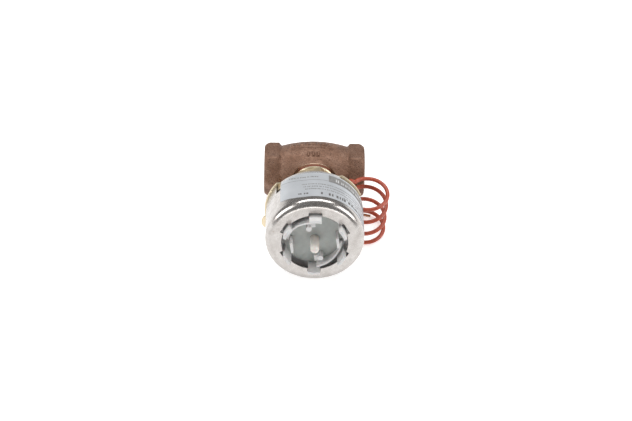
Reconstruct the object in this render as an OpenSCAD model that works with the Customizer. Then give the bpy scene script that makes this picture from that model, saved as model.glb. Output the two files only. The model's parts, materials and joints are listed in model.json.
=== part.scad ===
// Two-way zone valve: cast bronze globe body, brass bonnet and a heat motor in a round can.
// Each piece is drawn in valve axes: X along the ports, Y up the casting, Z along the stem
// towards the can. laid() then leans the stem so that the valve rests on a bench on the
// casting's belly and the can's rear rim, with the inlet's mouth at the origin.

/* [Valve body] */
// Length over the two port ends
body_len = 57.15; // [54:0.05:64]
// Width across the flats of the hexagon ends
hex_flats = 27.14; // [26:0.02:29]
// Length of each hexagon end
hex_len = 9.3; // [8:0.1:11]
// Radius of the barrel at its middle
barrel_r = 16.4; // [16:0.1:17.5]
// Radius of the barrel's waist beside each hexagon
waist_r = 13.3; // [13:0.1:15]
// Wall radius of each tapped port (half-inch taper pipe thread at its pitch line)
port_r = 9.7; // [9.4:0.05:9.9]
// Depth of each tapped port
port_depth = 13.6; // [12:0.1:14]

/* [Valve trim] */
// Height of the seat's crown over the port axis
seat_z = 2.5; // [2.4:0.05:2.6]
// Radius of the seat's hole
orifice_r = 4.6; // [4:0.1:4.8]
// Radius of the stem
stem_r = 3.0; // [2.6:0.05:3]
// Travel of the stem from closed to open
lift = 2.8; // [1:0.1:2.8]
// Radial running clearance of the sliding pieces
run_fit = 0.06; // [0.03:0.01:0.1]

/* [Bonnet] */
// Height of the body's machined pad over the port axis
pad_z = 12; // [11.6:0.1:12.4]
// Width across the flats of the bonnet's hexagon
bonnet_flats = 22.2; // [20:0.1:23]
// Radius of the bonnet's neck
neck_r = 8; // [7.5:0.1:8.5]

/* [Actuator can] */
// Outer radius of the can
can_r = 26.84; // [26.5:0.02:27.2]
// Length of the can
can_len = 29.08; // [29:0.02:29.3]
// Height of the can's rear rim over the port axis
can_z = 39.55; // [39.5:0.05:39.8]
// Wall of the can
can_wall = 0.9; // [0.6:0.05:1]
// Radius of the round edge of the can's face
can_edge_r = 4.2; // [3:0.1:4.5]
// Radius of the opening in the can's face
mouth_r = 18.04; // [18:0.02:18.2]

/* [Lead] */
// Diameter of the silicone-covered lead
lead_d = 2.3; // [2:0.1:2.4]
// Mean radius of the lead's open coil
coil_r = 10.6; // [10:0.1:10.8]
// Length of the coil along its axis
coil_h = 28; // [26:0.5:28]

/* [Hidden] */
$fn = 96;
EPS = 0.01;

half_len = body_len / 2;
hex_corner_r = hex_flats / 2 / cos(30);
hex_round_r = hex_corner_r - 0.3;
// The casting's belly and the can's rear rim stand on the bench
lean = atan2(can_r, can_z) - asin(barrel_r / norm([can_r, can_z]));
bench_z = -barrel_r;
can_top = can_z + can_len;

// Height levels along the stem
plate_z = 38.2;
plate_t = 1.2;
plate_top = plate_z + plate_t;
yoke_z = 41;
yoke_t = 1.5;
saddle_z = 46.5;
saddle_t = 1.5;
capsule_z = saddle_z + saddle_t;
capsule_len = 8;
cup_flange_z = 52;
cup_top = 59.5;
cup_t = 1.2;
ring_z = 61.4;
ring_t = 1.6;
disc_z = ring_z + ring_t;
disc_t = 1.63;
disc_top = disc_z + disc_t;

// Widths that several pieces share
pin_r = 2.4;
rod_x = 12.5;
rod_r = 1.3;
piston_r = 1.5;
capsule_r = 6.5;
rivet_y = 17.5;
finger_w = 6.6;
finger_r = [16.6, 18.1];
wall_r = [13.9, 15.1];
wall_from = 95;
wall_to = 179;
notch_r = 19.7;
notch_w = 7.1;
slot_angle = 138;
slot_w = 3.8;
grommet_at = [15, 9.5];
grommet_len = 3.7;

// Foot of the coil's axis on the bench, from the middle of the port axis, and its lean
coil_foot = [29.6, 30.2];
coil_lean = 10.5;
// Lead: the stretch from the grommet to the coil, in valve axes
lead_route = [
    [15, 9.5, 34.5], [15, 9.5, 32.6], [15.2, 9.5, 30.6], [15.8, 9.4, 28.4],
    [16.9, 9.2, 26.2], [18.4, 8.9, 24.2], [20.3, 8.5, 22.4], [22.2, 8.2, 20.9]
];
// Bared end of the lead: where it starts, from the coil's foot, its direction and its length
end_from = [-0.8, 10.6];
end_turn = -30;
end_len = 5.1;

// ---------- placing ----------

module laid() {
    translate([half_len, 0, 0])
        rotate([90 - lean, 0, 0])
            children();
}

module along_x() {
    rotate([0, 90, 0])
        children();
}

module ring(r_out, r_in, z0, z1) {
    translate([0, 0, z0])
        difference() {
            cylinder(h = z1 - z0, r = r_out);
            translate([0, 0, -1])
                cylinder(h = z1 - z0 + 2, r = r_in);
        }
}

module hexagon_nut(flats, z0, z1, turn) {
    corner_r = flats / 2 / cos(30);
    edge = 0.6;
    height = z1 - z0;
    translate([0, 0, z0])
        intersection() {
            rotate([0, 0, turn])
                cylinder(h = height, r = corner_r, $fn = 6);
            union() {
                cylinder(h = edge, r1 = corner_r - edge * 1.7, r2 = corner_r);
                translate([0, 0, edge])
                    cylinder(h = height - 2 * edge, r = corner_r);
                translate([0, 0, height - edge])
                    cylinder(h = edge, r1 = corner_r, r2 = corner_r - edge * 1.7);
            }
        }
}

// ---------- valve body and trim ----------

// One port end: a hexagon with a corner towards the can, its corners and edges eased
module hexagon_end(side) {
    ease = 1.4;
    x0 = side > 0 ? half_len - hex_len : -half_len;
    translate([x0, 0, 0])
        along_x()
            intersection() {
                cylinder(h = hex_len, r = hex_corner_r, $fn = 6);
                union() {
                    cylinder(h = ease, r1 = hex_round_r - ease, r2 = hex_round_r);
                    translate([0, 0, ease])
                        cylinder(h = hex_len - 2 * ease, r = hex_round_r);
                    translate([0, 0, hex_len - ease])
                        cylinder(h = ease, r1 = hex_round_r, r2 = hex_round_r - ease);
                }
            }
}

module barrel() {
    half = half_len - hex_len + 1;
    drop = barrel_r - waist_r;
    arc_r = (half * half + drop * drop) / (2 * drop);
    along_x()
        rotate_extrude()
            intersection() {
                translate([barrel_r - arc_r, 0])
                    circle(r = arc_r, $fn = 400);
                translate([0, -half])
                    square([barrel_r + 1, 2 * half]);
            }
}

// Raised flow bar with a plain arrow head
module flow_mark() {
    bar = [15, 1.6];
    head = 3.4;
    mark_z = 1.2;
    translate([0, barrel_r - 0.9, mark_z])
        rotate([-90, 0, 0])
            linear_extrude(1.2)
                union() {
                    translate([-bar[0] / 2, -bar[1] / 2])
                        square(bar);
                    translate([bar[0] / 2 - 1, 0])
                        polygon([[0, -head / 2], [head, 0], [0, head / 2]]);
                }
}

module valve_body() {
    boss_r = 12.4;
    chamber_r = 9;
    inlet_r = 4.5;
    outlet_r = 4;
    floor_z = seat_z - 1.3;
    color([0.56, 0.44, 0.38])
        difference() {
            union() {
                barrel();
                hexagon_end(1);
                hexagon_end(-1);
                cylinder(h = pad_z, r = boss_r);
                flow_mark();
            }
            translate([0, 0, pad_z])
                cylinder(h = 10, r = boss_r + 0.5);
            translate([0, 0, floor_z])
                cylinder(h = 20, r = chamber_r);
            for (side = [-1, 1])
                translate([side * (half_len - port_depth / 2 + 1), 0, 0])
                    along_x()
                        cylinder(h = port_depth + 2, r = port_r, center = true);
            translate([-half_len + port_depth - 1, 0, -6])
                along_x()
                    cylinder(h = half_len - port_depth + 5, r = inlet_r);
            translate([0, 0, -6])
                cylinder(h = 12, r = orifice_r);
            translate([0, 0, seat_z - 3])
                cylinder(h = 4, r = 6.25);
            translate([5.5, 0, 5.5])
                along_x()
                    cylinder(h = half_len - port_depth - 4.5, r = outlet_r);
        }
}

module valve_seat() {
    color([0.80, 0.70, 0.45])
        ring(6.2, orifice_r, seat_z - 3, seat_z);
}

module disc_holder() {
    holder_r = 6.5;
    top = seat_z + 4.1;
    color([0.80, 0.70, 0.45])
        difference() {
            translate([0, 0, seat_z + 0.7])
                cylinder(h = 3.4, r = holder_r);
            translate([0, 0, seat_z])
                cylinder(h = 1.87, r = 6.0);
            translate([0, 0, seat_z + 2.5])
                cylinder(h = 3, r = 2 + run_fit);
            translate([0, 0, seat_z])
                cylinder(h = 3, r = 1.22);
        }
}

module seat_disc() {
    color([0.12, 0.12, 0.12])
        ring(5.98, 1.24, seat_z + 0.05, seat_z + 1.85);
}

module disc_screw() {
    color([0.75, 0.75, 0.76])
        difference() {
            union() {
                translate([0, 0, seat_z - 0.9])
                    cylinder(h = 0.93, r = 2.6);
                translate([0, 0, seat_z])
                    cylinder(h = 2.4, r = 1.2);
            }
            translate([-3, -0.35, seat_z - 1.4])
                cube([6, 0.7, 1]);
        }
}

module valve_stem() {
    color([0.72, 0.72, 0.73])
        union() {
            translate([0, 0, seat_z + 2.55])
                cylinder(h = 3, r = 2);
            translate([0, 0, seat_z + 4.2])
                cylinder(h = yoke_z + yoke_t - seat_z - 4.2, r = stem_r);
            translate([0, 0, yoke_z + yoke_t])
                cylinder(h = 0.8, r1 = 4, r2 = 3.2);
        }
}

// ---------- bonnet ----------

module bonnet_gasket() {
    color([0.55, 0.26, 0.18])
        ring(12, 9.1, pad_z, pad_z + 0.8);
}

module bonnet() {
    flange_z = pad_z + 0.8;
    flange_t = 1.5;
    hex_z = flange_z + flange_t;
    hex_top = 21;
    flange_r = 12;
    spigot_z = 7.5;
    cavity_r = 6.9;
    color([0.84, 0.77, 0.65])
        difference() {
            union() {
                translate([0, 0, spigot_z])
                    cylinder(h = flange_z - spigot_z, r = 8.95);
                translate([0, 0, flange_z])
                    cylinder(h = 0.5, r1 = flange_r - 0.5, r2 = flange_r);
                translate([0, 0, flange_z + 0.5])
                    cylinder(h = flange_t - 1, r = flange_r);
                translate([0, 0, hex_z - 0.5])
                    cylinder(h = 0.5, r1 = flange_r, r2 = flange_r - 0.5);
                hexagon_nut(bonnet_flats, hex_z - EPS, hex_top, 75);
                translate([0, 0, hex_top - 1])
                    cylinder(h = plate_top - hex_top + 1, r = neck_r);
            }
            translate([0, 0, spigot_z - 1])
                cylinder(h = 5.5, r = cavity_r);
            cylinder(h = 60, r = stem_r + run_fit);
            translate([0, 0, 28])
                cylinder(h = 20, r = 4.9);
            translate([0, 0, 34])
                cylinder(h = 10, r = 5.5);
            ring(neck_r + 1, neck_r - 0.7, 23, 25);
        }
}

module stem_seals() {
    cord_r = 0.88;
    color([0.1, 0.1, 0.1])
        for (z = [29.2, 32.2])
            translate([0, 0, z])
                rotate_extrude()
                    translate([stem_r + 0.05 + cord_r, 0])
                        circle(r = cord_r, $fn = 24);
}

module gland_nut() {
    head_r = 9.6;
    slot = 1.6;
    color([0.80, 0.70, 0.45])
        difference() {
            union() {
                translate([0, 0, 34.2])
                    cylinder(h = plate_top - 33.8, r = 5.45);
                translate([0, 0, plate_top + 0.02])
                    cylinder(h = 1.18, r = head_r);
            }
            translate([0, 0, 30])
                cylinder(h = 20, r = stem_r + 0.2);
            for (side = [-1, 1])
                translate([side * head_r - 2, -slot / 2, plate_top - 1])
                    cube([4, slot, 4]);
        }
}

module lock_nut() {
    color([0.84, 0.77, 0.65])
        difference() {
            hexagon_nut(20, 34.4, plate_z - 0.02, 0);
            translate([0, 0, 30])
                cylinder(h = 20, r = neck_r + 0.02);
        }
}

// ---------- actuator shell ----------

// Stamped plate behind the can: a disc with two wings, a lug, and bent tabs that catch the
// can's rear slots. The wings are the parts of a larger disc that lie between two flats.
module base_plate() {
    disc_r = 25.8;
    wing_r = 27.5;
    wing_reach = 20.75;
    wing_turn = 98.9;
    tab_r = can_r - can_wall - 0.05;
    flat_x = 24.8;
    lug_turn = 199;
    lug_at = 26;
    lug_r = 4.8;
    color([0.84, 0.77, 0.60])
        union() {
            difference() {
                translate([0, 0, plate_z])
                    linear_extrude(plate_t)
                        union() {
                            circle(r = disc_r);
                            intersection() {
                                circle(r = wing_r);
                                rotate([0, 0, wing_turn])
                                    square([2 * wing_reach, 60], center = true);
                            }
                            rotate([0, 0, lug_turn])
                                translate([lug_at, 0])
                                    circle(r = lug_r);
                        }
                translate([0, 0, plate_z - 1])
                    cylinder(h = 4, r = neck_r + 0.02);
                translate([grommet_at[0], grommet_at[1], plate_z - 1])
                    cylinder(h = 4, r = 2.5);
                translate([flat_x, -20, plate_z - 1])
                    cube([10, 31, 4]);
                for (side = [-1, 1])
                    translate([0, side * rivet_y, plate_z - 1])
                        cylinder(h = 4, r = 1.52);
            }
            for (turn = [0, 180])
                rotate([0, 0, slot_angle + turn])
                    translate([tab_r - 1.2, -slot_w / 2 + 0.2, plate_z + 0.2])
                        cube([1.2, slot_w - 0.4, 5]);
        }
}

module can_outline(r, top, edge) {
    union() {
        square([r - edge, top]);
        square([r, top - edge]);
        translate([r - edge, top - edge])
            circle(r = edge, $fn = 96);
    }
}

module actuator_can() {
    color([0.78, 0.77, 0.76])
        difference() {
            translate([0, 0, can_z])
                rotate_extrude()
                    difference() {
                        can_outline(can_r, can_len, can_edge_r);
                        translate([0, -1])
                            can_outline(can_r - can_wall, can_len - can_wall + 1, can_edge_r - can_wall);
                    }
            translate([0, 0, can_top - 3])
                cylinder(h = 6, r = mouth_r);
            for (turn = [30 : 60 : 330])
                rotate([0, 0, turn])
                    translate([0, -notch_w / 2, can_top - 3])
                        cube([notch_r, notch_w, 6]);
            for (turn = [0, 180])
                rotate([0, 0, slot_angle + turn])
                    translate([can_r - 3, -slot_w / 2, can_z - 1])
                        cube([6, slot_w, 8.4]);
        }
}

// Wrap-round rating label, left blank, over the top and the right side
module label() {
    label_t = 0.12;
    z0 = 41.1;
    z1 = 63.7;
    from = -20;
    to = 133;
    color([0.81, 0.82, 0.83])
        translate([0, 0, z0])
            rotate([0, 0, from])
                rotate_extrude(angle = to - from)
                    translate([can_r + 0.01, 0])
                        square([label_t, z1 - z0]);
}

// ---------- actuator face ----------

module sector(r_in, r_out, from, to, z0, z1) {
    rotate([0, 0, from])
        translate([0, 0, z0])
            rotate_extrude(angle = to - from)
                translate([r_in, 0])
                    square([r_out - r_in, z1 - z0]);
}

// Quarter wall whose top edge ramps down anticlockwise, two-fold about the stem
module ramped_walls() {
    low = 66.4;
    high = can_top + 2.1;
    middle = (wall_from + wall_to) / 2;
    chord = 2 * wall_r[0] * sin((wall_to - wall_from) / 2);
    for (half = [0, 180])
        rotate([0, 0, half])
            intersection() {
                sector(wall_r[0], wall_r[1], wall_from, wall_to, disc_z - 1, high + 2);
                rotate([0, 0, middle])
                    translate([0, 0, (low + high) / 2])
                        rotate([-atan((high - low) / chord), 0, 0])
                            translate([0, -20, -20])
                                cube([20, 40, 20]);
            }
}

// Upright ribs beside the walls' low ends. grow widens them into cut-outs.
module petal_ribs(grow) {
    rib = [1.4, 6.6];
    rib_r = 11.8;
    for (half = [0, 180])
        rotate([0, 0, half + 8])
            translate([rib_r - grow, -rib[1] / 2 - grow, disc_z - 1])
                cube([rib[0] + 2 * grow, rib[1] + 2 * grow, 9.6]);
}

module finger_ring() {
    base_r = can_r - can_wall - 0.3;
    tip = 73.6;
    color([0.79, 0.78, 0.77])
        union() {
            ring(base_r, 9.6, ring_z, disc_z);
            for (turn = [30 : 60 : 330])
                intersection() {
                    ring(finger_r[1], finger_r[0], disc_z - 1, tip);
                    rotate([0, 0, turn])
                        translate([10, -finger_w / 2, disc_z - 1])
                            cube([12, finger_w, 20]);
                }
            ramped_walls();
            petal_ribs(0);
        }
}

module window_disc() {
    grow = 0.12;
    color([0.59, 0.60, 0.58])
        difference() {
            translate([0, 0, disc_z + 0.02])
                cylinder(h = disc_t - 0.02, r = 16.4);
            translate([0, 0, disc_z - 1])
                cylinder(h = 5, r = pin_r + run_fit);
            for (half = [0, 180])
                sector(
                    wall_r[0] - grow, wall_r[1] + grow,
                    wall_from + half - 1, wall_to + half + 1, disc_z - 1, disc_top + 1
                );
            petal_ribs(grow);
        }
}

// Pegs with a stop block beside each, standing on the disc
module guide_pegs() {
    color([0.79, 0.78, 0.77])
        for (half = [0, 180])
            rotate([0, 0, half])
                union() {
                    rotate([0, 0, 109])
                        translate([10.3, 0, disc_top + 0.02])
                            cylinder(h = can_top + 1 - disc_top, r = 1.5);
                    rotate([0, 0, 98])
                        translate([9.6, -1.6, disc_top + 0.02])
                            cube([3.6, 3.2, 2.8]);
                }
}

// ---------- heat motor ----------

// Bridge that holds the wax capsule over the yoke, riveted to the plate through two feet
module saddle() {
    width = 13;
    leg_y = [15, 20];
    color([0.30, 0.22, 0.17])
        difference() {
            union() {
                translate([-width / 2, -leg_y[1], saddle_z])
                    cube([width, 2 * leg_y[1], saddle_t]);
                for (side = [-1, 1])
                    translate([-width / 2, side > 0 ? leg_y[0] : -leg_y[1], plate_top + 0.02])
                        cube([width, leg_y[1] - leg_y[0], saddle_z - plate_top]);
            }
            for (side = [-1, 1])
                translate([0, side * rivet_y, plate_z])
                    cylinder(h = 20, r = 1.52);
            translate([0, 0, saddle_z - 1])
                cylinder(h = 1.6, r = 3);
        }
}

module saddle_rivets() {
    top = saddle_z + saddle_t;
    color([0.80, 0.70, 0.45])
        for (side = [-1, 1])
            translate([0, side * rivet_y, 0])
                union() {
                    translate([0, 0, plate_z])
                        cylinder(h = top - plate_z, r = 1.5);
                    translate([0, 0, plate_z - 0.9])
                        cylinder(h = 0.88, r1 = 1.8, r2 = 2.6);
                    translate([0, 0, top + 0.02])
                        cylinder(h = 0.9, r1 = 2.6, r2 = 1.8);
                    translate([0, 0, plate_z - 0.5])
                        cylinder(h = top - plate_z + 1, r = 1.5);
                }
}

module wax_capsule() {
    color([0.80, 0.70, 0.45])
        difference() {
            union() {
                translate([0, 0, capsule_z + 0.02])
                    cylinder(h = capsule_len - 1.5, r = capsule_r);
                translate([0, 0, capsule_z + capsule_len - 1.6])
                    cylinder(h = 1.6, r1 = capsule_r, r2 = 3);
            }
            translate([0, 0, capsule_z + 3])
                cylinder(h = capsule_len, r = piston_r + run_fit);
        }
}

module heater_sleeve() {
    color([0.85, 0.83, 0.78])
        ring(7.6, capsule_r + 0.03, capsule_z + 0.5, capsule_z + 6);
}

module terminal_block() {
    color([0.30, 0.22, 0.17])
        difference() {
            translate([11, 3, plate_top + 0.02])
                cube([9, 13, 1.3]);
            translate([grommet_at[0], grommet_at[1], plate_top - 1])
                cylinder(h = 4, r = 2.5);
            for (y = [4.6, 14.2])
                translate([18.3, y, plate_top - 1])
                    cylinder(h = 4, r = 0.82);
        }
}

module terminals() {
    color([0.80, 0.70, 0.45])
        for (y = [4.6, 14.2])
            translate([18.3, y, 0])
                union() {
                    translate([0, 0, plate_top + 0.1])
                        cylinder(h = 4, r = 0.8);
                    translate([0, 0, plate_top + 1.65])
                        cylinder(h = 0.7, r = 1.4);
                }
}

module piston() {
    color([0.75, 0.75, 0.76])
        translate([0, 0, capsule_z + 3.2])
            cylinder(h = cup_top - cup_t - capsule_z - 3.2 - 0.03, r = piston_r);
}

module lift_cup() {
    color([0.70, 0.70, 0.68])
        difference() {
            union() {
                translate([0, 0, cup_flange_z])
                    cylinder(h = cup_top - cup_flange_z, r = 9.2);
                translate([0, 0, cup_flange_z])
                    cylinder(h = cup_t, r = 15);
            }
            translate([0, 0, cup_flange_z - 1])
                cylinder(h = cup_top - cup_t - cup_flange_z + 1, r = 8);
            for (side = [-1, 1])
                translate([side * rod_x, 0, cup_flange_z - 1])
                    cylinder(h = 4, r = rod_r + 0.02);
        }
}

module pull_rods() {
    color([0.72, 0.72, 0.73])
        for (side = [-1, 1])
            translate([side * rod_x, 0, yoke_z + 0.02])
                cylinder(h = cup_flange_z + cup_t - yoke_z - 0.04, r = rod_r);
}

module stem_yoke() {
    reach = rod_x + 3;
    color([0.70, 0.70, 0.68])
        difference() {
            translate([-reach, -4.5, yoke_z])
                cube([2 * reach, 9, yoke_t]);
            translate([0, 0, yoke_z - 1])
                cylinder(h = 4, r = stem_r + 0.02);
            for (side = [-1, 1])
                translate([side * rod_x, 0, yoke_z - 1])
                    cylinder(h = 4, r = rod_r + 0.02);
        }
}

module indicator_pin() {
    tip = can_top + 7.7;
    color([0.76, 0.73, 0.70])
        union() {
            translate([0, 0, cup_top + 0.02])
                cylinder(h = tip - pin_r - cup_top - 0.02, r = pin_r);
            translate([0, 0, tip - pin_r])
                sphere(r = pin_r);
        }
}

// Points of a circle swept along a path; n sides
function unit(v) = v / norm(v);
function tangent(p, i) = unit(p[min(i + 1, len(p) - 1)] - p[max(i - 1, 0)]);
function side_of(t) = unit(cross(t, abs(t[2]) < 0.9 ? [0, 0, 1] : [0, 1, 0]));
function ring_of(p, i, r, n) =
    let (t = tangent(p, i), s = side_of(t), w = cross(s, t))
    [for (k = [0 : n - 1]) p[i] + r * (cos(360 * k / n) * s + sin(360 * k / n) * w)];

module swept(path, r, n) {
    count = len(path);
    points = [for (i = [0 : count - 1]) each ring_of(path, i, r, n)];
    sides = [
        for (i = [0 : count - 2]) for (k = [0 : n - 1])
            [i * n + k, i * n + (k + 1) % n, (i + 1) * n + (k + 1) % n, (i + 1) * n + k]
    ];
    first = [for (k = [n - 1 : -1 : 0]) k];
    last = [for (k = [0 : n - 1]) (count - 1) * n + k];
    polyhedron(points = points, faces = concat([first], sides, [last]), convexity = 8);
}

// Return spring, held up by the finger ring and pressed by the cup's flange
module return_spring() {
    wire_r = 0.7;
    mean_r = 12;
    turns = 3;
    steps = 18;
    bottom = cup_flange_z + cup_t + wire_r + 0.03;
    top = ring_z - wire_r - 0.03;
    path = [
        for (i = [0 : turns * steps])
            [mean_r * cos(360 * i / steps), mean_r * sin(360 * i / steps),
             bottom + (top - bottom) * i / (turns * steps)]
    ];
    color([0.66, 0.66, 0.67])
        swept(path, wire_r, 8);
}

// ---------- lead ----------

module lead_grommet() {
    color([0.12, 0.12, 0.12])
        translate([grommet_at[0], grommet_at[1], 0])
            difference() {
                union() {
                    translate([0, 0, plate_z - grommet_len])
                        cylinder(h = grommet_len - 0.02, r1 = 1.9, r2 = 3.4);
                    translate([0, 0, plate_z - 0.5])
                        cylinder(h = plate_t + 2, r = 2.45);
                }
                translate([0, 0, plate_z - 0.5])
                    cylinder(h = 6, r = 1.2);
            }
}

module lead_tube() {
    color([0.63, 0.24, 0.14])
        swept(lead_route, lead_d / 2, 8);
}

// Closed solid of the coil's outer shape; the coil leans back towards the casting
module lead_coil() {
    below = 4;
    color([0.63, 0.24, 0.14])
        intersection() {
            translate([half_len + coil_foot[0], -coil_foot[1], bench_z])
                rotate([-coil_lean, 0, 0])
                    ring(coil_r + lead_d / 2, coil_r - lead_d / 2, -below, coil_h);
            translate([half_len, -2 * coil_foot[1], bench_z + 0.02])
                cube([60, 60, 60]);
        }
}

// Bared end of the lead, on the bench, turned inwards from the back of the coil's last turn
module lead_end() {
    end_r = 0.75;
    at = [half_len + coil_foot[0] + end_from[0], end_from[1] - coil_foot[1]];
    color([0.72, 0.45, 0.25])
        translate([at[0], at[1], bench_z + lead_d / 2])
            rotate([0, 90, end_turn])
                cylinder(h = end_len, r = end_r);
}

laid() valve_body();
laid() valve_seat();
laid() bonnet_gasket();
laid() bonnet();
laid() stem_seals();
laid() gland_nut();
laid() lock_nut();
laid() base_plate();
laid() actuator_can();
laid() label();
laid() finger_ring();
laid() window_disc();
laid() guide_pegs();
laid() saddle();
laid() saddle_rivets();
laid() wax_capsule();
laid() heater_sleeve();
laid() terminal_block();
laid() terminals();
laid() return_spring();
laid() piston();
laid() valve_stem();
laid() disc_holder();
laid() seat_disc();
laid() disc_screw();
laid() stem_yoke();
laid() pull_rods();
laid() lift_cup();
laid() indicator_pin();
laid() lead_grommet();
laid() lead_tube();
lead_coil();
lead_end();
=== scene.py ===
import json
import math
import random

import bmesh
import bpy
from mathutils import Matrix, Vector, noise


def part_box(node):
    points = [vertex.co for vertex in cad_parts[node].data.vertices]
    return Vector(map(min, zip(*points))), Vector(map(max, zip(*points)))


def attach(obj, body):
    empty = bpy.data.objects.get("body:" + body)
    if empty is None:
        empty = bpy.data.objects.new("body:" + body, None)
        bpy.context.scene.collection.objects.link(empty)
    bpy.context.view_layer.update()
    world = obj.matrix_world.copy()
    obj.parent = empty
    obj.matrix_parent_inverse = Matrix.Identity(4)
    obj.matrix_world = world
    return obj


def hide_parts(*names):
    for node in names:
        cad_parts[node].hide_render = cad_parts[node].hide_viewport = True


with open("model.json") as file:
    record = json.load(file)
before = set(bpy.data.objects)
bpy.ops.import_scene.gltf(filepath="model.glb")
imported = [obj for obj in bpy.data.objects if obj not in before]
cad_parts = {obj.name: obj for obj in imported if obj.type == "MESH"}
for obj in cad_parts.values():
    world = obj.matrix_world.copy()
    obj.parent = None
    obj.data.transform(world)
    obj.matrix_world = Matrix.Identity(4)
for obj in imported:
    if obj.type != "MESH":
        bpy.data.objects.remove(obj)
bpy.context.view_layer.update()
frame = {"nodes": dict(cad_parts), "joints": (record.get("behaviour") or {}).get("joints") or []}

MM = 0.001
TAU = 2 * math.pi
NODES = frame["nodes"]
JOINTS = {joint["name"]: joint for joint in frame["joints"]}
PORT = Vector((1, 0, 0))
STEM = Vector(JOINTS["stem_lift"]["axis"]).normalized()
RISE = STEM.cross(PORT)
BODY_LOW, BODY_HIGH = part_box("valve_body")
HALF = (BODY_HIGH[0] - BODY_LOW[0]) / 2 / MM
ORIGIN = Vector(((BODY_LOW[0] + BODY_HIGH[0]) / 2, 0, 0))
BENCH = min(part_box("actuator_can")[0][2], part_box("valve_body")[0][2])


def place(point):
    """A point in valve axes, in millimetres, as metres in the row frame."""
    x, rise, along = point
    return ORIGIN + MM * (x * PORT + rise * RISE + along * STEM)


# ---------- camera ----------

CAMERA_AT = (14.58, -558.27, 640.82)
CAMERA_AIM = (29.60, -32.19, 2.34)
CAMERA_ROLL = 2.15
LENS = 84.1
SENSOR = 36


def add_camera():
    at = Vector(CAMERA_AT) * MM
    back = (at - Vector(CAMERA_AIM) * MM).normalized()
    right = Vector((0, 0, 1)).cross(back).normalized()
    up = back.cross(right)
    roll = math.radians(CAMERA_ROLL)
    rolled_up = math.cos(roll) * up - math.sin(roll) * right
    rolled_right = rolled_up.cross(back)
    data = bpy.data.cameras.new("camera")
    data.lens = LENS
    data.sensor_width = SENSOR
    data.clip_start = 0.01
    camera = bpy.data.objects.new("camera", data)
    camera.matrix_world = Matrix.Translation(at) @ Matrix(
        (rolled_right, rolled_up, back)
    ).transposed().to_4x4()
    bpy.context.scene.collection.objects.link(camera)
    bpy.context.scene.camera = camera


# ---------- node helpers ----------


class Nodes:
    """A material's node tree, with one short call for each kind of node."""

    def __init__(self, name):
        self.material = bpy.data.materials.new(name)
        self.material.use_nodes = True
        self.tree = self.material.node_tree
        self.tree.nodes.clear()
        self.output = self.tree.nodes.new("ShaderNodeOutputMaterial")
        self.shader = self.tree.nodes.new("ShaderNodeBsdfPrincipled")
        self.link(self.shader.outputs["BSDF"], self.output.inputs["Surface"])
        self.coords = self.tree.nodes.new("ShaderNodeTexCoord").outputs["Object"]

    def link(self, source, target):
        self.tree.links.new(source, target)

    def set(self, **values):
        for name, value in values.items():
            socket = self.shader.inputs[name.replace("_", " ")]
            if isinstance(value, tuple):
                socket.default_value = (*value, 1)
            elif isinstance(value, (int, float)):
                socket.default_value = value
            else:
                self.link(value, socket)

    def noise(self, per_metre, detail=4, roughness=0.55, stretch=None):
        node = self.tree.nodes.new("ShaderNodeTexNoise")
        node.inputs["Scale"].default_value = per_metre
        node.inputs["Detail"].default_value = detail
        node.inputs["Roughness"].default_value = roughness
        self.link(self.stretched(stretch) if stretch else self.coords, node.inputs["Vector"])
        return node.outputs["Fac"]

    def stretched(self, scale):
        node = self.tree.nodes.new("ShaderNodeMapping")
        node.inputs["Scale"].default_value = scale
        self.link(self.coords, node.inputs["Vector"])
        return node.outputs["Vector"]

    def cells(self, per_metre):
        node = self.tree.nodes.new("ShaderNodeTexVoronoi")
        node.inputs["Scale"].default_value = per_metre
        self.link(self.coords, node.inputs["Vector"])
        return node.outputs["Distance"]

    def ramp(self, value, stops):
        node = self.tree.nodes.new("ShaderNodeValToRGB")
        while len(node.color_ramp.elements) < len(stops):
            node.color_ramp.elements.new(0.5)
        for element, (at, colour) in zip(node.color_ramp.elements, stops):
            element.position = at
            if isinstance(colour, (int, float)):
                colour = (colour, colour, colour)
            element.color = (*colour, 1)
        self.link(value, node.inputs["Fac"])
        return node.outputs["Color"]

    def mix(self, factor, low, high, blend="MIX"):
        node = self.tree.nodes.new("ShaderNodeMix")
        node.data_type = "RGBA"
        node.blend_type = blend
        for socket, value in ((node.inputs[0], factor), (node.inputs[6], low), (node.inputs[7], high)):
            if isinstance(value, tuple):
                socket.default_value = (*value, 1)
            elif isinstance(value, (int, float)):
                socket.default_value = value
            else:
                self.link(value, socket)
        return node.outputs[2]

    def math(self, operation, first, second):
        node = self.tree.nodes.new("ShaderNodeMath")
        node.operation = operation
        for socket, value in zip(node.inputs, (first, second)):
            if isinstance(value, (int, float)):
                socket.default_value = value
            else:
                self.link(value, socket)
        return node.outputs["Value"]

    def bump(self, height, distance, strength=1.0):
        node = self.tree.nodes.new("ShaderNodeBump")
        node.inputs["Distance"].default_value = distance
        node.inputs["Strength"].default_value = strength
        self.link(height, node.inputs["Height"])
        self.link(node.outputs["Normal"], self.shader.inputs["Normal"])


# ---------- materials ----------


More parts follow.
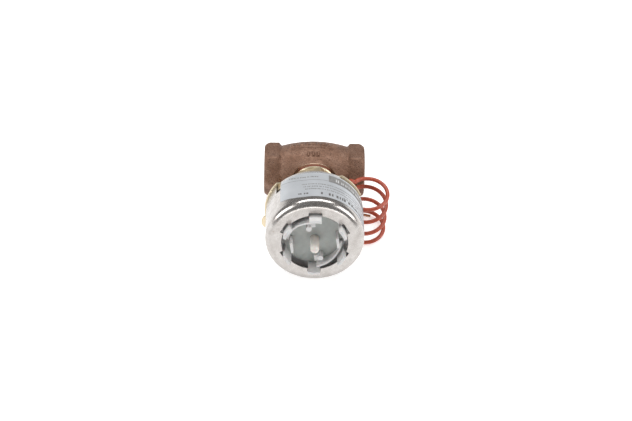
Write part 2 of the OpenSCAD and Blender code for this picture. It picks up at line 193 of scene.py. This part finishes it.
def cast_bronze():
    """Sand-cast bronze: brown skin over a coppery metal, grainy, darker in its pits."""
    m = Nodes("cast_bronze")
    blotch = m.noise(160, 5)
    grain = m.noise(1500, 4, 0.75)
    browns = [(0.30, (0.185, 0.098, 0.062)), (0.50, (0.25, 0.142, 0.096)), (0.72, (0.33, 0.205, 0.148))]
    skin = m.ramp(blotch, browns)
    pitted = m.mix(m.ramp(grain, [(0.34, 1.0), (0.52, 0.0)]), skin, (0.10, 0.052, 0.034))
    m.set(Base_Color=pitted, Metallic=0.65, Roughness=m.ramp(grain, [(0.3, 0.62), (0.7, 0.46)]))
    height = m.math("ADD", m.math("MULTIPLY", grain, 0.6), m.noise(900, 4, 0.6))
    m.bump(height, 0.00034, 0.9)
    return m.material


def machined_bronze():
    """Bronze where a tool has cut through the skin, with fine turning lines."""
    m = Nodes("machined_bronze")
    lines = m.noise(5200, 2, 0.5, stretch=(1, 0.08, 0.08))
    tone = m.noise(240, 4)
    m.set(
        Base_Color=m.ramp(tone, [(0.3, (0.52, 0.36, 0.27)), (0.7, (0.66, 0.48, 0.37))]),
        Metallic=0.9,
        Roughness=m.ramp(lines, [(0.3, 0.26), (0.7, 0.42)]),
    )
    m.bump(lines, 0.00004, 0.5)
    return m.material


def brass(name, low, high, roughness, lines_per_metre=4200):
    m = Nodes(name)
    tone = m.noise(220, 4)
    lines = m.noise(lines_per_metre, 2, 0.5)
    tarnish = m.ramp(m.noise(420, 5, 0.6), [(0.56, 0.0), (0.72, 0.5)])
    clean = m.ramp(tone, [(0.3, low), (0.7, high)])
    m.set(
        Base_Color=m.mix(tarnish, clean, tuple(0.62 * c for c in low)),
        Metallic=0.95,
        Roughness=m.ramp(lines, [(0.3, roughness - 0.06), (0.7, roughness + 0.10)]),
    )
    m.bump(lines, 0.00003, 0.4)
    return m.material


def satin_can():
    """Drawn metal with a warm satin face, faint mottling and a few brown specks."""
    m = Nodes("satin_can")
    mottle = m.noise(330, 5, 0.6)
    fine = m.noise(3400, 3, 0.6)
    greys = [(0.28, (0.39, 0.362, 0.342)), (0.50, (0.46, 0.434, 0.414)), (0.75, (0.53, 0.508, 0.49))]
    metal = m.ramp(mottle, greys)
    dots = m.ramp(m.cells(420), [(0.05, 1.0), (0.12, 0.0)])
    clusters = m.ramp(m.noise(150, 2), [(0.52, 0.0), (0.58, 1.0)])
    specks = m.math("MULTIPLY", dots, clusters)
    m.set(
        Base_Color=m.mix(specks, metal, (0.30, 0.19, 0.12)),
        Metallic=0.92,
        Roughness=m.ramp(fine, [(0.3, 0.19), (0.7, 0.28)]),
    )
    m.bump(m.math("ADD", fine, m.math("MULTIPLY", mottle, 0.5)), 0.00003, 0.5)
    return m.material


def foil_label():
    m = Nodes("foil_label")
    fine = m.noise(2600, 3)
    m.set(
        Base_Color=m.ramp(m.noise(140, 3), [(0.3, (0.50, 0.52, 0.545)), (0.7, (0.56, 0.58, 0.605))]),
        Metallic=0.35,
        Roughness=m.ramp(fine, [(0.3, 0.34), (0.7, 0.46)]),
    )
    m.bump(fine, 0.00002, 0.4)
    return m.material


def print_ink(name, colour):
    m = Nodes(name)
    m.set(
        Base_Color=m.ramp(m.noise(3000, 3), [(0.35, tuple(0.8 * c for c in colour)), (0.6, colour)]),
        Metallic=0.1,
        Roughness=0.5,
    )
    return m.material


def moulding(name, low, high, roughness=0.42, subsurface=0.12, bump=0.00003):
    m = Nodes(name)
    tone = m.noise(260, 4)
    fine = m.noise(1900, 3)
    m.set(
        Base_Color=m.ramp(tone, [(0.3, low), (0.7, high)]),
        Roughness=m.ramp(fine, [(0.3, roughness - 0.06), (0.7, roughness + 0.08)]),
        Subsurface_Weight=subsurface,
        Subsurface_Scale=0.0015,
    )
    m.bump(fine, bump, 0.5)
    return m.material


def silicone():
    """Orange-red silicone sleeve: matte, a little dusty, paler where it is rubbed."""
    m = Nodes("silicone")
    tone = m.noise(520, 4)
    fine = m.noise(3800, 3, 0.6)
    reds = [(0.30, (0.30, 0.040, 0.014)), (0.55, (0.38, 0.055, 0.020)), (0.78, (0.46, 0.085, 0.035))]
    base = m.ramp(tone, reds)
    m.set(
        Base_Color=base,
        Roughness=m.ramp(fine, [(0.3, 0.36), (0.7, 0.50)]),
        Coat_Weight=0.15,
        Coat_Roughness=0.3,
    )
    m.bump(fine, 0.00004, 0.5)
    return m.material


def plated_steel():
    m = Nodes("plated_steel")
    lines = m.noise(4200, 2)
    m.set(
        Base_Color=m.ramp(m.noise(300, 4), [(0.3, (0.50, 0.50, 0.51)), (0.7, (0.62, 0.62, 0.63))]),
        Metallic=1.0,
        Roughness=m.ramp(lines, [(0.3, 0.25), (0.7, 0.38)]),
    )
    m.bump(lines, 0.00003, 0.4)
    return m.material


def stranded_copper():
    m = Nodes("stranded_copper")
    strands = m.noise(2400, 2, 0.5, stretch=(0.3, 1, 1))
    m.set(
        Base_Color=m.ramp(strands, [(0.35, (0.36, 0.17, 0.09)), (0.65, (0.72, 0.42, 0.27))]),
        Metallic=0.95,
        Roughness=0.35,
    )
    m.bump(strands, 0.0001, 0.8)
    return m.material


def pale_floor():
    m = Nodes("pale_floor")
    m.set(
        Base_Color=m.ramp(m.noise(6, 2), [(0.3, (0.86, 0.86, 0.86)), (0.7, (0.88, 0.88, 0.88))]),
        Roughness=0.7,
        Emission_Color=(1, 1, 1),
        Emission_Strength=0.5,
    )
    return m.material


# ---------- mesh helpers ----------


def new_object(name, mesh, material, smooth=True):
    obj = bpy.data.objects.new(name, mesh)
    bpy.context.scene.collection.objects.link(obj)
    for one in material if isinstance(material, (list, tuple)) else [material]:
        mesh.materials.append(one)
    for polygon in mesh.polygons:
        polygon.use_smooth = smooth
    return obj


def catmull(points, steps):
    """A smooth line through the points, with steps stretches between each two."""
    padded = [2 * points[0] - points[1], *points, 2 * points[-1] - points[-2]]
    line = []
    for a, b, c, d in zip(padded, padded[1:], padded[2:], padded[3:]):
        for i in range(steps):
            t = i / steps
            bend = 2 * a - 5 * b + 4 * c - d
            twist = 3 * b - a - 3 * c + d
            line.append(0.5 * (2 * b + (c - a) * t + bend * t * t + twist * t**3))
    return line + [points[-1]]


def smooth_max(a, b, width):
    blend = max(width - abs(a - b), 0) / width
    return max(a, b) + blend * blend * width / 4


def ramp01(value, low, high):
    t = min(max((value - low) / (high - low), 0), 1)
    return t * t * (3 - 2 * t)


# ---------- lead ----------

LEAD_D = 2.3
COIL_R = 10.6
COIL_FOOT = (29.2, 30.2)
# How far the coil's axis moves to the right and back for each millimetre of height
COIL_SLOPE = (0.045, 0.177)
LEAD_ROUTE = [
    (15, 9.5, 34.5), (15, 9.5, 32.6), (15.2, 9.5, 30.6), (15.8, 9.4, 28.4),
    (16.9, 9.2, 26.2), (18.4, 8.9, 24.2), (20.3, 8.5, 22.4),
]
TURN_POINTS = 36
COIL_START = -2.4
COIL_END = 3 * TAU + 4.62
# Heights over the bench at each half turn, from the back of the top turn to the back of the last one
COIL_HEIGHTS = (26.6, 25.1, 20.9, 16.1, 11.9, 7.7, 3.2, 1.2, 1.18, 1.18)
CURVE_STEPS = 16
COIL_CURVE = catmull(COIL_HEIGHTS, CURVE_STEPS)
# The lead drops this far in the half turn before the coil, and its last half turn spirals inwards
LEAD_IN_DROP = 3
INWARD_FROM = 3 * TAU + math.pi
INWARD = 0.4
BARE_LEN = 4.4
BARE_TURN = math.radians(-14)
BARE_R = 0.75


def coil_point(angle):
    """A point of the lead's coil, in metres, from its angle round the axis: 0 is its right side."""
    halves = (angle + math.pi / 2) / math.pi
    if halves < 0:
        height = COIL_HEIGHTS[0] - LEAD_IN_DROP * halves
    else:
        step = min(halves * CURVE_STEPS, len(COIL_CURVE) - 1.001)
        low, high = COIL_CURVE[int(step)], COIL_CURVE[int(step) + 1]
        height = low + (high - low) * (step % 1)
    last = max(angle - INWARD_FROM, 0)
    radius = COIL_R - INWARD * last * last
    x = COIL_FOOT[0] + COIL_SLOPE[0] * height + radius * math.cos(angle)
    forward = COIL_FOOT[1] - COIL_SLOPE[1] * height + radius * math.sin(angle)
    return Vector((ORIGIN.x + MM * x, -MM * forward, BENCH + MM * max(height, LEAD_D / 2 + 0.03)))


def add_lead(material, copper):
    turns = int((COIL_END - COIL_START) / TAU * TURN_POINTS)
    coil = [coil_point(COIL_START + (COIL_END - COIL_START) * i / turns) for i in range(turns + 1)]
    line = catmull([place(p) for p in LEAD_ROUTE] + coil, 3)
    curve = bpy.data.curves.new("lead", "CURVE")
    curve.dimensions = "3D"
    curve.bevel_depth = LEAD_D / 2 * MM
    curve.bevel_resolution = 5
    curve.use_fill_caps = True
    spline = curve.splines.new("POLY")
    spline.points.add(len(line) - 1)
    for point, at in zip(spline.points, line):
        point.co = (*at, 1)
    spline.use_smooth = True
    curve.materials.append(material)
    lead = bpy.data.objects.new("lead", curve)
    bpy.context.scene.collection.objects.link(lead)

    along = Matrix.Rotation(BARE_TURN, 3, "Z") @ (line[-1] - line[-3]).normalized()
    along.z = 0
    end = strands(line[-1] - along * 0.5 * MM, along, copper)
    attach(lead, "valve")
    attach(end, "valve")
    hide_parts("lead_tube", "lead_coil")
    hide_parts("lead_end")


def strands(start, along, material):
    """The bared, twisted end of the lead: seven strands laid round each other."""
    side = along.cross(Vector((0, 0, 1))).normalized()
    up = Vector((0, 0, 1))
    strand_r = BARE_R / 3
    lay = 7.0
    bm = bmesh.new()
    steps, sides = 36, 8
    for strand in range(7):
        orbit = 0 if strand == 0 else 2 * strand_r
        rings = []
        for i in range(steps + 1):
            run = (BARE_LEN + 0.5) * i / steps
            turn = TAU * (strand / 6 + run / lay)
            centre = start + MM * run * along + MM * orbit * (math.cos(turn) * side + math.sin(turn) * up)
            spokes = [math.cos(TAU * k / sides) * side + math.sin(TAU * k / sides) * up for k in range(sides)]
            rings.append([bm.verts.new(centre + MM * strand_r * spoke) for spoke in spokes])
        for one, two in zip(rings, rings[1:]):
            for k in range(sides):
                bm.faces.new((one[k], one[(k + 1) % sides], two[(k + 1) % sides], two[k]))
        bm.faces.new(list(reversed(rings[0])))
        bm.faces.new(rings[-1])
    bmesh.ops.recalc_face_normals(bm, faces=bm.faces)
    mesh = bpy.data.meshes.new("lead_strands")
    bm.to_mesh(mesh)
    bm.free()
    return new_object("lead_strands", mesh, material)


# ---------- casting ----------

FLATS = 27.14
HEX_LEN = 9.3
BARREL_R = 16.4
WAIST_R = 13.3
BOSS_R = 12.4
PAD_Z = 12.0
SPOT_R = 12.9
EASE = 0.6
PORT_R = 9.7
PORT_DEPTH = 13.6
THREAD_PITCH = 25.4 / 14
THREAD_DEPTH = 1.1
PASSAGES = {-1: (-6.0, 4.5), 1: (5.5, 4.0)}


def hexagon_r(angle):
    """Radius of a rounded hexagon with a corner towards the can."""
    off = math.fmod(angle + 2 * TAU, TAU / 6) - TAU / 12
    flat = FLATS / 2 / math.cos(off)
    round_r = FLATS / 2 / math.cos(math.radians(30)) - 0.1
    return -smooth_max(-flat, -round_r, 0.6)


# Raised marks: the bar's ends along the ports and its edges in degrees, the arrow head's foot, point
# and middle, and for each pad its two ends and its middle
BAR = (-7.5, 7.5, 84.2, 88.0)
HEAD = (6.2, 9.9, 86.0)
PADS = [
    (-13.6, -11.6, 96), (-10.8, -9.3, 96.5), (-8.5, -5.8, 97.5), (-4.8, -3.4, 98),
    (-2.6, 0.6, 98), (1.5, 3.0, 98), (4.0, 6.4, 97.5), (7.3, 8.6, 96.5), (9.5, 12.6, 96),
    (-4.2, -2.9, 68), (-1.4, -0.1, 68), (1.4, 2.7, 68),
]


def patch(x, degrees, x0, x1, low, high):
    """1 inside a patch of the skin with soft borders, 0 outside."""
    across = ramp01(x, x0 - 0.25, x0 + 0.25) * ramp01(x1 - x, -0.25, 0.25)
    return across * ramp01(degrees, low - 0.8, low + 0.8) * ramp01(high - degrees, -0.8, 0.8)


def raised_mark(x, angle):
    """Height of the raised flow bar with its arrow head, and of the plain pads above and below it."""
    degrees = math.degrees(angle)
    height = patch(x, degrees, *BAR)
    half = 5.5 * (HEAD[1] - x) / (HEAD[1] - HEAD[0])
    height = max(height, patch(x, degrees, HEAD[0], HEAD[1], HEAD[2] - half, HEAD[2] + half))
    for x0, x1, middle in PADS:
        half = 4.2 if middle > 90 else 5.0
        height = max(height, patch(x, degrees, x0, x1, middle - half, middle + half))
    return 0.9 * height


def casting_r(x, angle):
    """Radius of the casting about the port axis; angle 0 points to the can, a quarter turn up."""
    away = math.cos(angle)
    up = math.sin(angle)
    run = HALF - HEX_LEN + 1
    arc_r = (run * run + (BARREL_R - WAIST_R) ** 2) / (2 * (BARREL_R - WAIST_R))
    radius = math.sqrt(arc_r * arc_r - min(abs(x), run) ** 2) + BARREL_R - arc_r
    if away > 0 and abs(x) < BOSS_R:
        reach = math.sqrt(BOSS_R * BOSS_R - x * x)
        boss = min(PAD_Z / away, reach / max(abs(up), 0.001))
        radius = smooth_max(radius, boss, 2.0)
    hexed = ramp01(abs(x), 18.5, 20.5)
    radius += hexed * (hexagon_r(angle) - radius)
    outside = HALF - abs(x)
    chamfer = FLATS / 2 + 0.15 + 0.69 * outside
    radius = -smooth_max(-radius, -chamfer, 0.8)
    if outside < EASE:
        radius -= EASE - math.sqrt(EASE * EASE - (EASE - outside) ** 2)
    if away > 0 and abs(x) < SPOT_R + 1:
        cut = PAD_Z / away
        from_middle = math.hypot(x, min(cut, 40) * up)
        weight = ramp01(SPOT_R + 0.25 - from_middle, 0, 0.5)
        radius = min(radius, cut) * weight + radius * (1 - weight)
    if abs(x) < 16 and 1.0 < angle < 1.9:
        radius += raised_mark(x, angle)
    return radius


def is_machined(x, angle, radius):
    return math.cos(angle) * radius > PAD_Z - 0.12 and math.hypot(x, radius * math.sin(angle)) < SPOT_R


def add_casting(cast, machined):
    along_n, round_n = 230, 360
    bm = bmesh.new()
    rings, on_machined = [], []

    def ring(x, radius_at, centre=0.0):
        verts = []
        for k in range(round_n):
            angle = TAU * k / round_n
            radius = radius_at(angle)
            at = (x, radius * math.sin(angle), centre + radius * math.cos(angle))
            verts.append(bm.verts.new(place(at)))
        return verts

    def skin(one, two, slot, flip=False):
        for k in range(round_n):
            corners = [one[k], one[(k + 1) % round_n], two[(k + 1) % round_n], two[k]]
            face = bm.faces.new(corners[::-1] if flip else corners)
            face.material_index = slot(k) if callable(slot) else slot

    for i in range(along_n + 1):
        x = -HALF + 2 * HALF * i / along_n
        marks = []

        def sand(angle, x=x, marks=marks):
            radius = casting_r(x, angle)
            cut = is_machined(x, angle, radius)
            marks.append(cut)
            at = Vector((x, radius * math.sin(angle), radius * math.cos(angle)))
            end = ramp01(HALF - abs(x), 0.0, 1.5)
            grit = 0.05 * noise.noise(at * 1.4) + 0.10 * noise.noise(at * 0.28)
            return radius if cut else radius + end * grit

        rings.append(ring(x, sand))
        on_machined.append(marks)
    for i in range(along_n):
        skin(rings[i], rings[i + 1], lambda k, i=i: int(on_machined[i][k] and on_machined[i + 1][k]))
    for side, outer in ((-1, rings[0]), (1, rings[-1])):
        last = outer
        mouth = PORT_R + THREAD_DEPTH / 2 + 0.4
        threads = [(0.0, None, mouth)]
        steps = 76
        for i in range(steps + 1):
            threads.append((0.5 + (PORT_DEPTH - 0.5) * i / steps, i, None))
        for depth, i, radius in threads:
            x = side * (HALF - depth)

            def wall(angle, x=x, depth=depth, radius=radius):
                if radius is not None:
                    return radius
                phase = math.fmod(side * x / THREAD_PITCH - angle / TAU + 40, 1)
                tooth = 1 - abs(2 * phase - 1)
                taper = depth / 32
                fade = ramp01(PORT_DEPTH - depth, 0.4, 2.5)
                crest = min(max(1.25 * tooth - 0.12, 0), 1)
                return PORT_R + THREAD_DEPTH / 2 - taper - THREAD_DEPTH * crest * fade

            new = ring(x, wall)
            skin(last, new, 1, flip=side > 0) if side < 0 else skin(new, last, 1)
            last = new
        centre, passage_r = PASSAGES[side]
        x_end = side * (HALF - PORT_DEPTH - 0.6)
        hole = ring(x_end, lambda angle: passage_r + 0.4, centre)
        deep = ring(x_end - side * 0.5, lambda angle: passage_r, centre)
        blind = ring(x_end - side * 11, lambda angle: passage_r, centre)
        for one, two, slot in ((last, hole, 0), (hole, deep, 0), (deep, blind, 0)):
            skin(one, two, slot) if side < 0 else skin(two, one, slot)
        bm.faces.new(blind).material_index = 0
    bmesh.ops.recalc_face_normals(bm, faces=bm.faces)
    mesh = bpy.data.meshes.new("casting")
    bm.to_mesh(mesh)
    bm.free()
    casting = new_object("casting", mesh, [cast, machined])
    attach(casting, "valve")
    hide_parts("valve_body")


# ---------- label ----------

CAN_R = 26.84
LABEL_T = 0.12
LABEL_FROM, LABEL_TO = -20.0, 134.5
LABEL_REAR, LABEL_FRONT = 41.1, 62.9
PRINT_R = CAN_R + LABEL_T + 0.02


def lifted(along, degrees):
    """The label is stuck on a little askew: its left end sits closer to the can's rear rim."""
    return max(along - 4.2 * ramp01(degrees, 100, 138), LABEL_REAR)


def can_point(radius, degrees, along):
    angle = math.radians(degrees)
    return place((radius * math.cos(angle), radius * math.sin(angle), along))


def add_label(material):
    """The label: a thin skin round the can, closed on all sides."""
    bm = bmesh.new()
    steps = 76
    rows = []
    for i in range(steps + 1):
        degrees = LABEL_FROM + (LABEL_TO - LABEL_FROM) * i / steps
        rounding = 0.7 * (1 - math.sqrt(1 - max(0, 1 - min(i, steps - i) / 1.5) ** 2))
        rear, front = LABEL_REAR + rounding, lifted(LABEL_FRONT, degrees) - rounding
        inner, outer = CAN_R + 0.01, CAN_R + LABEL_T
        corners = [(inner, rear), (outer, rear), (outer, front), (inner, front)]
        rows.append([bm.verts.new(can_point(radius, degrees, along)) for radius, along in corners])
    for one, two in zip(rows, rows[1:]):
        for k in range(4):
            bm.faces.new((one[k], one[(k + 1) % 4], two[(k + 1) % 4], two[k]))
    bm.faces.new(rows[0])
    bm.faces.new(rows[-1][::-1])
    bmesh.ops.recalc_face_normals(bm, faces=bm.faces)
    mesh = bpy.data.meshes.new("label_skin")
    bm.to_mesh(mesh)
    bm.free()
    skin = new_object("label_skin", mesh, material)
    split = skin.modifiers.new("split", "EDGE_SPLIT")
    split.split_angle = math.radians(40)
    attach(skin, "valve")
    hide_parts("label")


def add_print(name, patches, material, radius=PRINT_R):
    """Thin printed patches on the label: (low, high) along the stem, (from, to) round it in degrees."""
    bm = bmesh.new()
    for (low, high), (start, end) in patches:
        steps = max(1, int(abs(end - start) / 2))
        rows = []
        for i in range(steps + 1):
            degrees = start + (end - start) * i / steps
            edges = [can_point(radius, degrees, lifted(along, degrees)) for along in (low, high)]
            rows.append([bm.verts.new(at) for at in edges])
        for one, two in zip(rows, rows[1:]):
            bm.faces.new((one[0], two[0], two[1], one[1]))
    bmesh.ops.recalc_face_normals(bm, faces=bm.faces)
    mesh = bpy.data.meshes.new(name)
    bm.to_mesh(mesh)
    bm.free()
    piece = new_object(name, mesh, material)
    thick = piece.modifiers.new("thick", "SOLIDIFY")
    thick.thickness = 0.02 * MM
    thick.offset = 0
    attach(piece, "valve")


# Rows of plain dashes: along the stem, start and end round it, half height, dash length and gap;
# the angles, lengths and gaps are in degrees
FINE_ROWS = [
    (45.0, 122, 87, 0.42, 1.3, 0.9), (51.7, 106, -14, 0.36, 1.1, 0.8), (53.9, 104, -14, 0.36, 1.3, 0.8),
    (56.1, 102, -14, 0.36, 1.2, 0.7), (58.0, 56, -14, 0.36, 1.2, 0.8),
]
BOLD_ROWS = [
    (59.9, 84, 80, 0.95, 2.4, 1.8), (59.9, 75, 44, 1.05, 2.6, 2.0),
    (60.4, 41, 4, 0.85, 1.9, 1.4), (60.0, 110, 98, 0.62, 1.9, 1.5),
]
PALE_ROWS = [(45.4, 66, 61, 1.25, 2.1, 1.3), (45.7, 59, 22, 0.9, 1.6, 1.1)]


def dashes(rows, seed):
    """The dashes of some rows, each of a slightly different length, the same each run."""
    rng = random.Random(seed)
    made = []
    for along, start, end, half, length, gap in rows:
        angle = start
        while angle > end:
            run = length * rng.uniform(0.5, 1.3)
            made.append(((along - half, along + half), (angle, angle - run)))
            angle -= run + gap * rng.choice((0.5, 0.8, 0.8, 1.9))
    return made


# ---------- carried-over CAD nodes ----------


def dress(node, material, bevel=0.0, segments=2, angle=32):
    """Gives a CAD node its material and, when a bevel is given, eased edges."""
    obj = NODES[node]
    obj.data.materials.clear()
    obj.data.materials.append(material)
    if bevel:
        weld = obj.modifiers.new("weld", "WELD")
        weld.merge_threshold = 0.000002
        ease = obj.modifiers.new("ease", "BEVEL")
        ease.width = bevel * MM
        ease.segments = segments
        ease.limit_method = "ANGLE"
        ease.angle_limit = math.radians(angle)
        ease.harden_normals = False
    return obj


# ---------- stage ----------


def add_floor(material):
    size = 3.0
    mesh = bpy.data.meshes.new("floor")
    corners = [(-size, -size), (size, -size), (size, size), (-size, size)]
    mesh.from_pydata([(x, y, BENCH) for x, y in corners], [], [(0, 1, 2, 3)])
    floor = new_object("floor", mesh, material)


def add_light(name, at, size, power, tone=(1, 1, 1)):
    data = bpy.data.lights.new(name, "AREA")
    data.shape = "RECTANGLE"
    data.size, data.size_y = size
    data.energy = power
    data.color = tone
    light = bpy.data.objects.new(name, data)
    light.location = at
    aim = ORIGIN + Vector((0, -0.03, 0)) - Vector(at)
    light.rotation_euler = aim.to_track_quat("-Z", "Y").to_euler()
    bpy.context.scene.collection.objects.link(light)


def add_studio():
    world = bpy.data.worlds.new("studio")
    world.use_nodes = True
    background = world.node_tree.nodes["Background"]
    background.inputs["Color"].default_value = (1, 1, 1, 1)
    background.inputs["Strength"].default_value = 0.2
    bpy.context.scene.world = world
    add_light("top_back", (0.03, 0.30, 0.74), (0.95, 0.24), 5.6)
    add_light("left", (-0.70, -0.20, 0.40), (0.40, 0.60), 3.2)
    add_light("right", (0.75, -0.20, 0.40), (0.40, 0.60), 3.2)
    add_light("front", (0.03, -0.90, 0.10), (0.90, 0.16), 1.6)
    bpy.context.scene.view_settings.view_transform = "Standard"
    bpy.context.scene.view_settings.look = "None"


add_camera()
copper = stranded_copper()
steel = plated_steel()
add_lead(silicone(), copper)
add_casting(cast_bronze(), machined_bronze())
pale = brass("pale_brass", (0.66, 0.555, 0.39), (0.78, 0.68, 0.50), 0.40)
yellow = brass("yellow_brass", (0.55, 0.42, 0.20), (0.70, 0.56, 0.30), 0.30)
white = moulding("white_nylon", (0.56, 0.552, 0.545), (0.64, 0.632, 0.625), 0.62, 0.05)
grey = moulding("grey_nylon", (0.30, 0.315, 0.30), (0.36, 0.375, 0.355), 0.5)
warm = moulding("warm_nylon", (0.60, 0.56, 0.51), (0.70, 0.66, 0.61))
black = moulding("black_rubber", (0.015, 0.015, 0.016), (0.03, 0.03, 0.031), 0.6, 0.0)
board = moulding("phenolic_board", (0.10, 0.055, 0.035), (0.16, 0.09, 0.06), 0.5, 0.0)
fibre = moulding("red_fibre", (0.17, 0.045, 0.028), (0.24, 0.07, 0.045), 0.75, 0.0, 0.00008)
ceramic = moulding("pale_ceramic", (0.66, 0.63, 0.55), (0.74, 0.71, 0.64), 0.5, 0.0)

for node in ("bonnet", "base_plate", "lock_nut"):
    dress(node, pale, 0.15)
for node in ("valve_seat", "gland_nut", "saddle_rivets", "wax_capsule", "terminals", "disc_holder"):
    dress(node, yellow, 0.1)
for node in ("return_spring", "piston", "valve_stem", "disc_screw", "stem_yoke", "pull_rods", "lift_cup"):
    dress(node, steel)
for node in ("seat_disc", "stem_seals", "lead_grommet"):
    dress(node, black)
for node in ("saddle", "terminal_block"):
    dress(node, board, 0.15)
dress("actuator_can", satin_can(), 0.12)
add_label(foil_label())
dress("finger_ring", white, 0.22, 3)
dress("guide_pegs", white, 0.18, 3)
dress("window_disc", grey, 0.12)
dress("indicator_pin", warm)
dress("bonnet_gasket", fibre, 0.12)
dress("heater_sleeve", ceramic, 0.1)

ink_grey = print_ink("ink_grey", (0.26, 0.255, 0.25))
ink_band = print_ink("ink_band", (0.235, 0.23, 0.225))
ink_dark = print_ink("ink_dark", (0.13, 0.125, 0.12))
ink_pale = print_ink("ink_pale", (0.62, 0.62, 0.62))
add_print("label_band", [((42.3, 48.2), (LABEL_FROM + 0.5, 74.6))], ink_band)
add_print("label_band_rows", dashes(PALE_ROWS, 3), ink_pale, PRINT_R + 0.02)
add_print("label_rule", [((47.6, 47.85), (74.6, 133.0))], ink_grey)
add_print("label_fine_rows", dashes(FINE_ROWS, 5), ink_grey)
add_print("label_bold_rows", dashes(BOLD_ROWS, 11), ink_dark)

add_floor(pale_floor())
add_studio()
